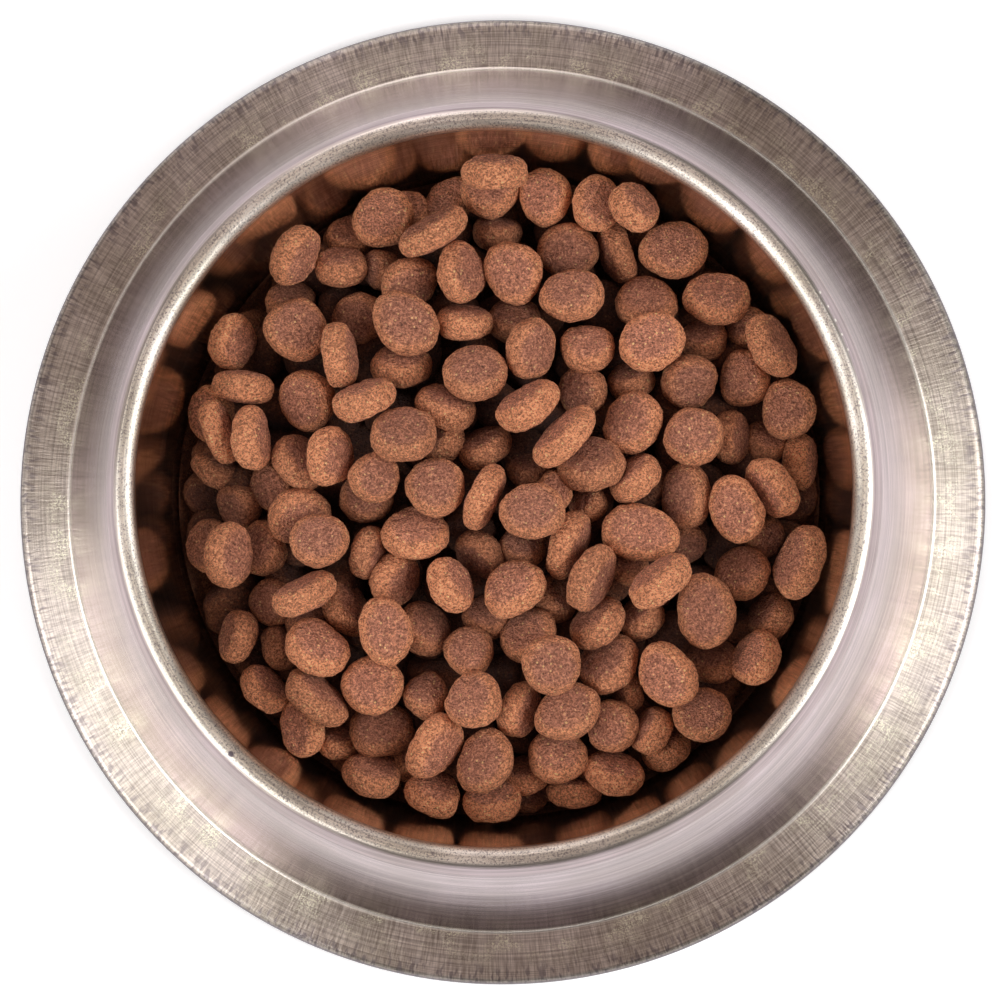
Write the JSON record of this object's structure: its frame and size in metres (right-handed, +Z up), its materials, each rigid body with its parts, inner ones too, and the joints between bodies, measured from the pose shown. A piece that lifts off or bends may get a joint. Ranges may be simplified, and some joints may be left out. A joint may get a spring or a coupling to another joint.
{
  "type": "pet bowl filled with dry food",
  "caption": "Round non-tip steel pet bowl with a sloping skirt and a wide base flange, heaped with dry food kibbles and standing on a rubber base ring.",
  "frame": {"origin": "centre of the rubber base ring's underside, on the floor", "axes": "+Z up along the bowl's axis; +X right and +Y away as seen from above with the heap's highest kibbles drawn as pictured"},
  "size_m": [0.229, 0.229, 0.056],
  "materials": {
    "steel": "polished wall, lip and skirt, dull brushed base flange",
    "rubber": "matte black",
    "packed_food": "dull, rough baked crumb in shade",
    "kibble": "dull, rough baked crumb"
  },
  "bodies": {
    "root": {"steel_bowl": "steel", "base_ring": "rubber", "food_heap": "packed_food", "kibble_01": "kibble", "kibble_02": "kibble", "kibble_03": "kibble", "kibble_04": "kibble", "kibble_05": "kibble", "kibble_06": "kibble", "kibble_07": "kibble", "kibble_08": "kibble", "kibble_09": "kibble", "kibble_10": "kibble", "kibble_11": "kibble", "kibble_12": "kibble", "kibble_13": "kibble", "kibble_14": "kibble", "kibble_15": "kibble", "kibble_16": "kibble", "kibble_17": "kibble", "kibble_18": "kibble", "kibble_19": "kibble", "kibble_20": "kibble", "kibble_21": "kibble", "kibble_22": "kibble", "kibble_23": "kibble", "kibble_24": "kibble", "kibble_25": "kibble", "kibble_26": "kibble", "kibble_27": "kibble", "kibble_28": "kibble", "kibble_29": "kibble", "kibble_30": "kibble", "kibble_31": "kibble", "kibble_32": "kibble", "kibble_33": "kibble", "kibble_34": "kibble", "kibble_35": "kibble", "kibble_36": "kibble", "kibble_37": "kibble", "kibble_38": "kibble", "kibble_39": "kibble", "kibble_40": "kibble", "kibble_41": "kibble", "kibble_42": "kibble", "kibble_43": "kibble", "kibble_44": "kibble", "kibble_45": "kibble", "kibble_46": "kibble", "kibble_47": "kibble", "kibble_48": "kibble", "kibble_49": "kibble", "kibble_50": "kibble", "kibble_51": "kibble", "kibble_52": "kibble", "kibble_53": "kibble", "kibble_54": "kibble", "kibble_55": "kibble", "kibble_56": "kibble"}
  },
  "joints": []
}
